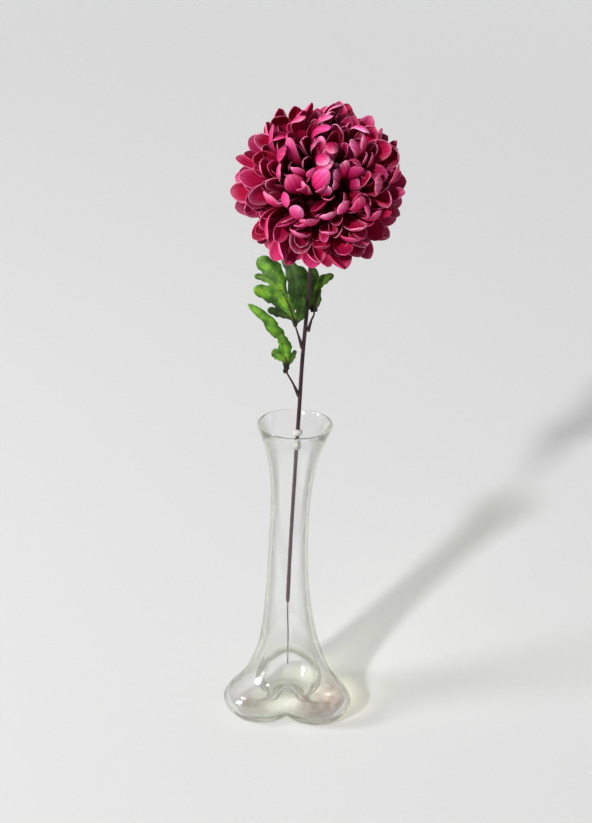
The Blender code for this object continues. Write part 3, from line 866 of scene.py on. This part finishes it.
def leafSheet(lobes):
    points, outlines = [], []
    for vein, halfWidth, pointed, _ in lobes:
        outline = lobeOutline(vein, halfWidth, pointed)
        outlines.append(list(range(len(points), len(points) + len(outline))))
        points += outline
    grid = leafLook["grid"]
    rows = int(leafLook["reach"] / grid)
    for row in range(rows):
        for column in range(rows):
            across = (column + 0.5 * (row % 2) - rows / 2 - 3) * grid
            points.append(Vector((across, (row - 3) * grid * sqrt(0.75))))
    merged, _, faces, _, _, lobesOf = delaunay_2d_cdt(points, [], outlines, 1, 1e-4, True)
    faces = [face for face, inside in zip(faces, lobesOf) if inside]
    used = sorted({i for face in faces for i in face})
    number = {old: new for new, old in enumerate(used)}
    return [merged[i] for i in used], [tuple(number[i] for i in face) for face in faces]


def leafForward(leaf, across, up, spine):
    # How far a point of the flat leaf comes towards the viewer: the same bow, fold and ripple
    # as the solid's.
    off = min((Vector((across, up)) - point).length for point in spine)
    return leaf["rise"] * up + 1.6 * sin(up / 13.0) - 0.10 * off + 0.5 * sin(across / 3.1 + up / 5.0)


def leafPlace(leaf, across, up, forward):
    return leaf["base"] + leafSideways * across + leafUpward * up + leafToward * forward


def stubRoute(leaf):
    reach = leaf["base"] - leaf["joint"]
    aim = reach.normalized()
    length = min(stem["stubLength"], reach.length * 0.5)
    return [leaf["joint"] - aim * 0.4, leaf["joint"] + aim * length * 0.4, leaf["joint"] + aim * length]


def leafColour(leaf, p, offVein, lobePaintedShade, rightOf):
    # Printed green with brighter patches and dark specks, pale along the veins, rusty beside some of them,
    # and darker away from the veins; painted shade on the leaf's right half, near its base and on some
    # lobes.
    face, bright, dark, vein, rust = (
        toLinear(leafLook[part + "Colour"]) for part in ("face", "bright", "dark", "vein", "rust")
    )
    patch = 0.5 + 0.5 * noise.noise(Vector((p.x, p.y, 3.0)) / 5.0)
    speck = 0.5 + 0.5 * noise.noise(Vector((p.x, p.y, 9.0)) / 2.2)
    colour = mixed(face, bright, smooth(patch * 2.2 - 0.6))
    colour = mixed(colour, dark, 0.7 * smooth(speck * 2.6 - 1.4))
    colour = mixed(colour, vein, 0.5 * exp(-(offVein / 0.5) ** 2))
    colour = mixed(colour, rust, 0.5 * exp(-(offVein / 1.0) ** 2) * smooth(patch * 3 - 1.6))
    between = 0.6 * smooth((offVein - 1.8) / 2.0)
    # Painted shade near the blade's base, beside the stem.
    paintedBaseShade = smooth(1.6 - p.length / 5)
    return mixed(colour, dark, max(leaf["shadedRight"] * rightOf, between, paintedBaseShade, lobePaintedShade))


def makeBlade(name, material):
    leaf = leaves[name]
    flat, faces = leafSheet(leaf["lobes"])
    spine = veinPoints(leaf["rib"], 12)
    veins = [(veinPoints(lobe[0], 14), lobe[3]) for lobe in leaf["lobes"]]
    points, colours = [], []
    for p in flat:
        offVein, lobePaintedShade = min(
            (min((p - point).length for point in vein), lobeShade) for vein, lobeShade in veins
        )
        toRib = min(spine, key=lambda point: (p - point).length)
        crease = -0.45 * exp(-(offVein / 0.7) ** 2)
        pillow = 0.35 * sin(min(offVein, 3.5) / 3.5 * pi)
        points.append(leafPlace(leaf, p.x, p.y, leafForward(leaf, p.x, p.y, spine) + crease + pillow))
        # Painted shade on the right half of the blade.
        colours.append(leafColour(leaf, p, offVein, lobePaintedShade, smooth((p.x - toRib.x) / 3.0)))
    mesh = newMesh(name + "Blade", points, faces)
    paint(mesh, colours)
    piece = addPiece(name + "Blade", mesh, material, "green_fabric", "leaf_" + name)
    thicken(piece, leafLook["thickness"])


def makePetiole(name, material):
    # From the stub on the stem to the blade, and on as the stiffened middle rib on the blade's face.
    leaf = leaves[name]
    spine = veinPoints(leaf["rib"], 12)
    lift = leafLook["thickness"] / 2 + stem["petioleRadius"] * 0.6
    wired = veinPoints(leaf["rib"], 16)
    wired = wired[:max(3, round(len(wired) * leaf["wired"]))]
    rib = [leafPlace(leaf, p.x, p.y, leafForward(leaf, p.x, p.y, spine) + lift) for p in wired]
    knee = rib[0] - (rib[1] - rib[0]).normalized() * 2.2
    stub = stubRoute(leaf)
    aim = (stub[-1] - stub[0]).normalized()
    tip = stub[-1] + aim
    route = curveThrough([stub[-1] - aim * 1.5, tip, (tip + knee) / 2 + aim * 0.4, knee], 5)
    run = [(point, 1.15 - 0.25 * i / len(route)) for i, point in enumerate(route)]
    run += [(point, 0.9 - 0.6 * i / len(rib)) for i, point in enumerate(rib)]
    curve = newTube(name + "Petiole", run, stem["petioleRadius"])
    addPiece(name + "Petiole", curve, material, "brown_coating", "petiole_" + name)


# Flower head

def petalList(seed, layers, shortest, longest, usual):
    # Every petal by the rule that places the solid's: its outward direction, its hollow side
    # and its shape.
    draw = random.Random(seed)
    crown = crownDirection()
    side = crown.orthogonal().normalized()
    other = crown.cross(side)
    petals = []
    for angle, number, halfWidth, cup, curl in layers:
        start = draw.uniform(0, 360)
        for i in range(number):
            polar = radians(angle + draw.uniform(-3.5, 3.5))
            around = radians(start + 360 * (i + draw.uniform(-0.25, 0.25)) / number)
            out = crown * cos(polar) + (side * cos(around) + other * sin(around)) * sin(polar)
            inward = (crown - out * crown.dot(out)).normalized()
            twist = radians(draw.gauss(0, 38 - 0.12 * angle))
            petals.append({
                "out": out,
                "inward": Matrix.Rotation(twist, 3, out) @ inward,
                "half": halfWidth * draw.uniform(0.80, 1.18),
                "cup": cup * draw.uniform(0.75, 1.15),
                "curl": curl * draw.uniform(0.25, 1.35),
                "lean": draw.uniform(-0.22, 0.12),
                "reach": bloom["radius"] * draw.triangular(shortest, longest, usual)
                * (1 + bloom["widening"] * abs(out.x)),
            })
    return petals


def petalWidth(s):
    grown = 0.34 + 0.66 * smooth(s / 0.62)
    rounded = sqrt(max(0.0, 1 - (max(0.0, s - 0.5) / 0.5) ** 2.6))
    return max(grown * rounded, 0.04)


def petalPath(petal, root, steps=24):
    # The petal's middle line from the root, and which way it heads along it.
    out, inward = petal["out"], petal["inward"]
    path, ahead = [Vector((0, 0, 0))], []
    for i in range(steps):
        s = (i + 0.5) / steps
        turn = 1.5 * petal["lean"] * (1 - s) + 1.5 * petal["curl"] * smooth((s - 0.35) / 0.65)
        direction = out * cos(turn) + inward * sin(turn)
        ahead.append(direction)
        path.append(path[-1] + direction / steps)
    length = (petal["reach"] - root) / max(point.dot(out) for point in path)
    return [out * root + point * length for point in path], ahead, length


def petalColour(s, t, back, pale, faded):
    # The dye's deep red, pinker towards the tip, with painted shade and a painted sheen on the edges.
    body = toLinear(bloom["backColour" if back else "hollowShadeColour"])
    # Painted shade: deep red at the root, and a darker hollow side.
    colour = mixed(toLinear(bloom["rootShadeColour"]), body, smooth((s - 0.1) / 0.5))
    towardsTip = smooth((s - 0.55) / 0.45)
    # The hollow side takes less of the pinker tip: painted shade.
    colour = mixed(colour, toLinear(bloom["tipColour"]), faded * (1 if back else 0.6) * towardsTip)
    # The paler cut edge and a painted sheen highlight, weaker on the hollow side.
    sideEdge = smooth((abs(t) - 0.45) / 0.55) ** 2 * smooth((s - 0.3) / 0.5)
    tipEdge = smooth((s - 0.76) / 0.24) ** 2
    edge = pale * max(sideEdge, tipEdge) * (1 if back else bloom["hollowEdge"])
    return mixed(colour, toLinear(bloom["edgeAndSheenColour"]), edge)


def makePetals(name, petals, material, shades, *nodes):
    # Each petal is a thin closed shell: a hollow face and a back, joined round the edge.
    draw = random.Random(bloom["looseSeed"])
    rows, columns = bloom["rows"], bloom["columns"]
    stations = [sin(pi / 2 * i / rows) for i in range(rows + 1)]
    ts = [-1 + 2 * i / (columns - 1) for i in range(columns)]
    points, faces, colours, uvs = [], [], [], []
    for petal in petals:
        loose = radians(draw.gauss(0, bloom["looseness"]))
        petal["inward"] = Matrix.Rotation(loose, 3, petal["out"]) @ petal["inward"]
        path, ahead, length = petalPath(petal, bloom["hubRadius"] - 1)
        across = petal["out"].cross(petal["inward"])
        offCrown = crownDirection().angle(petal["out"])
        # A random tone for each petal, darker towards the crown as painted shade.
        shade = draw.uniform(*shades) * (0.75 + 0.25 * smooth(offCrown / radians(45)))
        pale = bloom["paleLeast"] + bloom["paleMore"] * draw.random() ** bloom["paleRarity"]
        faded = draw.uniform(0.0, bloom["fadedMost"])
        wave = draw.uniform(0, 2 * pi)
        sway = draw.uniform(-1, 1) * bloom["sway"]
        first = len(points)
        steps = len(ahead)
        for back in (False, True):
            for s in stations:
                k = s * steps
                i = min(int(k), steps - 1)
                middle = path[i].lerp(path[i + 1], k - i) + across * (length * sway * s * s / 2)
                face = across.cross(ahead[i]).normalized()
                width = petal["half"] * petalWidth(s)
                arc = petal["cup"] * (0.45 + 0.55 * smooth(s / 0.5))
                arc *= 1 - bloom["opening"] * smooth((s - 0.6) / 0.4)
                for t in ts:
                    lateral = width * sin(arc * t) / arc
                    depth = width * (1 - cos(arc * t)) / arc
                    depth += 0.18 * cos(3 * pi * t) * smooth(s * 2) * (1 - s)
                    depth += 0.3 * abs(t) ** 3 * sin(6 * s + wave + 2 * t) * (1 - s ** 4)
                    hollow = face * cos(arc * t) - across * sin(arc * t)
                    depth = face * depth + hollow * (bloom["thickness"] * (-0.5 if back else 0.5))
                    points.append(bloom["centre"] + middle + across * lateral + depth)
                    colours.append([part * shade for part in petalColour(s, t, back, pale, faded)])
                    uvs.append((width * t + 20 * shade, s * length + 7 * wave))
        faces += petalFaces(first, len(stations), columns)
    mesh = newMesh(name, points, faces)
    paint(mesh, colours)
    layer = mesh.uv_layers.new(name="cloth")
    for loop, spot in zip(mesh.loops, layer.data):
        spot.uv = uvs[loop.vertex_index]
    addPiece(name, mesh, material, "magenta_fabric", *nodes)
    print(name, "petals:", len(petals))


def petalFaces(first, rows, columns):
    # The two faces of the shell and the strip between them all round.
    second = first + rows * columns
    faces = []
    for row in range(rows - 1):
        for i in range(columns - 1):
            a, b = row * columns + i, (row + 1) * columns + i
            faces.append((first + a, first + a + 1, first + b + 1, first + b))
            faces.append((second + a, second + b, second + b + 1, second + a + 1))
    around = list(range(columns)) + [row * columns + columns - 1 for row in range(1, rows)]
    around += [(rows - 1) * columns + i for i in range(columns - 2, -1, -1)]
    around += [row * columns for row in range(rows - 2, 0, -1)]
    for a, b in zip(around, around[1:] + around[:1]):
        faces.append((first + b, first + a, second + a, second + b))
    return faces


def makeHub(material):
    # The moulded hub that the petals are threaded on, hardly seen between them.
    work = bmesh.new()
    bmesh.ops.create_icosphere(work, subdivisions=4, radius=bloom["hubRadius"])
    for vert in work.verts:
        vert.co += vert.normal * bloom["hubRelief"] * noise.noise(vert.co / 5.0)
        vert.co += bloom["centre"]
        vert.co *= mm
    mesh = bpy.data.meshes.new("hub")
    work.to_mesh(mesh)
    work.free()
    mesh.shade_smooth()
    # Near-black red: painted shade between the petals.
    paint(mesh, [toLinear(bloom["hubShadeColour"])] * len(mesh.vertices))
    mesh.uv_layers.new(name="cloth")
    addPiece("hub", mesh, material, "magenta_fabric")


# Calyx

calyx = {
    # number, start along the underside, length, half width, from the outer ring in
    "bracts": (
        (11, 7.4, 15.0, 4.2),
        (11, 4.6, 10.5, 3.4),
        (7, 2.4, 6.5, 2.6),
    ),
    "rows": 9,
    "columns": 7,
    "thickness": 0.45,
    "colour": "#3f6420",
    "tipColour": "#6d9440",
    "cupSides": 24,
    # distance from the stem's axis and height above the calyx's foot
    "underside": (
        (2.6, 0.0), (4.2, 2.0), (7.6, 4.0), (11.2, 7.4), (16.0, 10.6), (21.0, 14.5),
    ),
    "cup": (
        (1.3, 0.0), (2.7, -0.1), (4.0, 1.8), (7.4, 3.8),
        (11.0, 7.2), (12.0, 9.6), (10.5, 10.4), (1.0, 10.0),
    ),
}


def pointAlong(line, distance):
    # The point this far along a row of points.
    for a, b in zip(line, line[1:]):
        step = (b - a).length
        if distance <= step:
            return a.lerp(b, distance / step)
        distance -= step
    return line[-1]


def calyxSpoke(turn):
    crown = crownDirection()
    side = crown.orthogonal().normalized()
    return side * cos(turn) + crown.cross(side) * sin(turn)


def bractPoints(ring, around, start, length, half, underside):
    # One bract, its tip lifted off the underside and its middle raised.
    rows, columns = calyx["rows"], calyx["columns"]
    points, shares = [], []
    for i in range(rows):
        s = i / (rows - 1)
        place = pointAlong(underside, start - 2.0 + length * s)
        width = half * (0.7 + 0.3 * smooth(s * 2)) * sqrt(max(0.02, 1 - s ** 3))
        for j in range(columns):
            t = -1 + 2 * j / (columns - 1)
            spoke = calyxSpoke(around + width * t / max(place.x, 3.0))
            lift = 0.5 * ring + 0.5 * (1 - t * t) + 0.6 * s * s
            points.append(
                calyxFoot() + spoke * (place.x + lift * 0.6) + crownDirection() * (place.y - lift * 0.8)
            )
            shares.append(0.2 + 0.6 * s)
    return points, shares


def makeCalyx(material):
    # Overlapping green bracts spread up the underside of the head from the socket of the stem.
    underside = curveThrough([Vector(place) for place in calyx["underside"]], 10)
    base, tip = toLinear(calyx["colour"]), toLinear(calyx["tipColour"])
    rows, columns, sides = calyx["rows"], calyx["columns"], calyx["cupSides"]
    points, faces, colours = [], [], []
    for ring, (number, start, length, half) in enumerate(calyx["bracts"]):
        for k in range(number):
            first = len(points)
            around = 2 * pi * (k + 0.5 * ring) / number
            bract, shares = bractPoints(ring, around, start, length, half, underside)
            points += bract
            colours += [mixed(base, tip, share) for share in shares]
            for i in range(rows - 1):
                for j in range(columns - 1):
                    a = first + i * columns + j
                    faces.append((a, a + columns, a + columns + 1, a + 1))
    faces += ringFaces(len(points), len(calyx["cup"]), sides, turned=True)
    for out, up in calyx["cup"]:
        for j in range(sides):
            points.append(calyxFoot() + calyxSpoke(2 * pi * j / sides) * out + crownDirection() * up)
            colours.append(base)
    mesh = newMesh("calyx", points, faces)
    paint(mesh, colours)
    piece = addPiece("calyxBracts", mesh, material, "green_fabric", "calyx")
    thicken(piece, calyx["thickness"])


# Studio

studio = {
    # metres; the camera that was fitted to the photo
    "cameraPlace": Vector((0.0, -1.19398, 0.71421)),
    "cameraRight": Vector((0.9996, 0.0105, 0.0252)),
    "cameraUp": Vector((-0.0273, 0.3903, 0.9203)),
    "cameraAhead": Vector((0.0002, 0.9206, -0.3904)),
    "lens": 92.475,
    "sensor": 36.0,
    "worldStrength": 0.37,
    "sunStrength": 3.2,
    "sunAngle": 4.0,
    "sunAhead": Vector((0.43, 0.80, -0.5)),
    "windowPlace": Vector((-2.3, -0.77, 1.4)),
    "windowTarget": Vector((0, 0, 0.15)),
    "windowSize": 1.0,
    "windowPower": 64,
    "floorColour": "#cacaca",
    "floorDrop": 0.0002,     # m below the foot, so that the two never share a plane
    "sweepReach": 3.2,       # m from the middle to the wall of the round sweep
    "sweepRadius": 0.6,
    "wallHeight": 1.3,
    "sweepSides": 96,
    "sweepBend": 15,         # steps of the bend up into the wall
}


def makeCamera():
    camera = bpy.data.cameras.new("camera")
    camera.lens = studio["lens"]
    camera.sensor_width = studio["sensor"]
    holder = addToScene("camera", camera)
    axes = (studio["cameraRight"], studio["cameraUp"], -studio["cameraAhead"])
    turn = Matrix(axes).transposed().to_4x4()
    turn.translation = studio["cameraPlace"]
    holder.matrix_world = turn
    bpy.context.scene.camera = holder


def makeLights():
    # A pale surrounding, a soft sun for the long shadow and a broad window lamp from the left.
    world = bpy.data.worlds.new("studio")
    bpy.context.scene.world = world
    world.use_nodes = True
    background = world.node_tree.nodes["Background"]
    background.inputs["Color"].default_value = (1, 1, 1, 1)
    background.inputs["Strength"].default_value = studio["worldStrength"]

    sun = bpy.data.lights.new("sun", "SUN")
    sun.energy = studio["sunStrength"]
    sun.angle = radians(studio["sunAngle"])
    addToScene("sun", sun).rotation_euler = studio["sunAhead"].to_track_quat("-Z", "Y").to_euler()

    window = bpy.data.lights.new("window", "AREA")
    window.shape = "DISK"
    window.size = studio["windowSize"]
    window.energy = studio["windowPower"]
    lamp = addToScene("window", window)
    lamp.location = studio["windowPlace"]
    ahead = studio["windowTarget"] - studio["windowPlace"]
    lamp.rotation_euler = ahead.to_track_quat("-Z", "Y").to_euler()


def makeFloor():
    # A plain pale floor that bends up into a low round wall, which casts no shadow,
    # so the lights outside reach in.
    paper, _, shader = newMaterial("matt white paper", {"Roughness": 0.95})
    shader.inputs["Base Color"].default_value = (*toLinear(studio["floorColour"]), 1)
    reach, bend, sides = studio["sweepReach"], studio["sweepRadius"], studio["sweepSides"]
    angles = [pi / 2 * i / studio["sweepBend"] for i in range(studio["sweepBend"] + 1)]
    profile = [(0.001, 0.0)]
    profile += [(reach - bend + bend * sin(angle), bend - bend * cos(angle)) for angle in angles]
    profile += [(reach, studio["wallHeight"])]
    points = [
        (r * cos(2 * pi * k / sides) / mm, r * sin(2 * pi * k / sides) / mm, (z - studio["floorDrop"]) / mm)
        for r, z in profile for k in range(sides)
    ]
    faces = [tuple(range(sides))] + ringFaces(0, len(profile), sides, turned=True)
    sweep = addToScene("floorSweep", newMesh("floorSweep", points, faces))
    sweep.data.materials.append(paper)
    sweep.visible_shadow = False


brownCoating = makeCoating()
green = makeLeafCloth()
magenta = makePetalCloth()
print("materials made")
makeVase(makeVaseGlass())
print("vase made")
makeStem(brownCoating)
makeWire(makeWireSteel())
makeDrops(makeGlintDropMaterial())
print("stem made")
for leafName in leaves:
    makeBlade(leafName, green)
    makePetiole(leafName, brownCoating)
print("leaves made")
petals = petalList(bloom["seed"], bloom["layers"], *bloom["reachShares"])
makePetals("petals", petals, magenta, bloom["shades"], "bloom")
innerPetals = petalList(bloom["innerSeed"], bloom["innerLayers"], *bloom["innerReachShares"])
makePetals("innerPetals", innerPetals, magenta, bloom["innerShades"])
makeHub(magenta)
print("flower head made")
makeCalyx(green)
print("calyx made")
makeCamera()
makeLights()
makeFloor()
bpy.context.scene.view_settings.view_transform = "Standard"
print("studio made")
